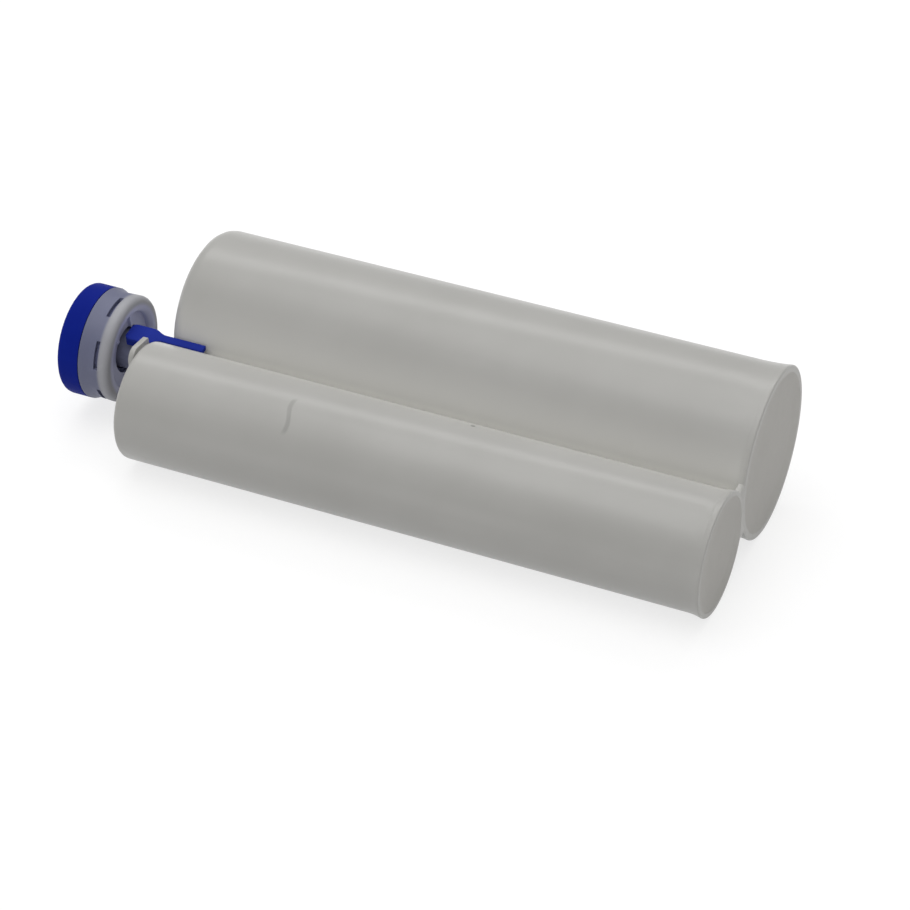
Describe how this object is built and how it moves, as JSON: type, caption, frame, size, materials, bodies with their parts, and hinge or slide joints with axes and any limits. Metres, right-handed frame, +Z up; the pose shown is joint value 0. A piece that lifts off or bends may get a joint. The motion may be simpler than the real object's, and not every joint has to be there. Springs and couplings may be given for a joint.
{
  "type": "dual cartridge",
  "caption": "Side-by-side cartridge for two-part paste: a large and a small barrel with pistons, a plugged outlet neck, a screw nut with slotted collar, and a lock slider.",
  "frame": {"origin": "middle of the bounding box's bottom face, on the surface that the cartridge lies on", "axes": "+X along the barrels to the open rear end with the pistons, +Y from the small barrel to the large one, +Z up from the surface that it lies on"},
  "size_m": [0.239, 0.099, 0.059],
  "materials": {
    "natural_plastic": "satin natural plastic",
    "collar_plastic": "satin translucent plastic over blue",
    "blue_plastic": "semi-gloss blue plastic",
    "seal_rubber": "matt black rubber"
  },
  "bodies": {
    "cartridge": {"large_barrel": "natural_plastic", "small_barrel": "natural_plastic", "rear_flange": "natural_plastic", "outlet_neck": "natural_plastic"},
    "large_piston_body": {"large_piston": "natural_plastic", "large_piston_seal": "seal_rubber", "large_piston_vent_pin": "natural_plastic"},
    "small_piston_body": {"small_piston": "natural_plastic", "small_piston_seal": "seal_rubber", "small_piston_vent_pin": "natural_plastic"},
    "plug_body": {"outlet_plug": "natural_plastic", "plug_gasket": "seal_rubber"},
    "nut_body": {"closure_nut": "blue_plastic", "collar_ring": "collar_plastic"},
    "slider_body": {"lock_slider": "blue_plastic"}
  },
  "joints": [
    {"name": "large_piston_slide", "type": "slide", "parent": "cartridge", "child": "large_piston_body", "axis": [-1, 0, 0], "range_m": [0, 0.186]},
    {"name": "small_piston_slide", "type": "slide", "parent": "cartridge", "child": "small_piston_body", "axis": [-1, 0, 0], "range_m": [0, 0.186]},
    {"name": "closure_travel", "type": "slide", "parent": "cartridge", "child": "plug_body", "axis": [-1, 0, 0], "range_m": [0, 0.008]},
    {"name": "closure_turn", "type": "hinge", "parent": "plug_body", "child": "nut_body", "pos_m": [-0.11335, -0.00755, 0.02472], "axis": [-1, 0, 0], "range_deg": [0, 720]},
    {"name": "lock_slide", "type": "slide", "parent": "cartridge", "child": "slider_body", "axis": [-1, 0, 0], "range_m": [0, 0.0022]}
  ],
  "couplings": [
    {"joint": "small_piston_slide", "follows": "large_piston_slide", "ratio": 1},
    {"joint": "closure_travel", "follows": "closure_turn", "m_per_rad": 0.0006366}
  ]
}
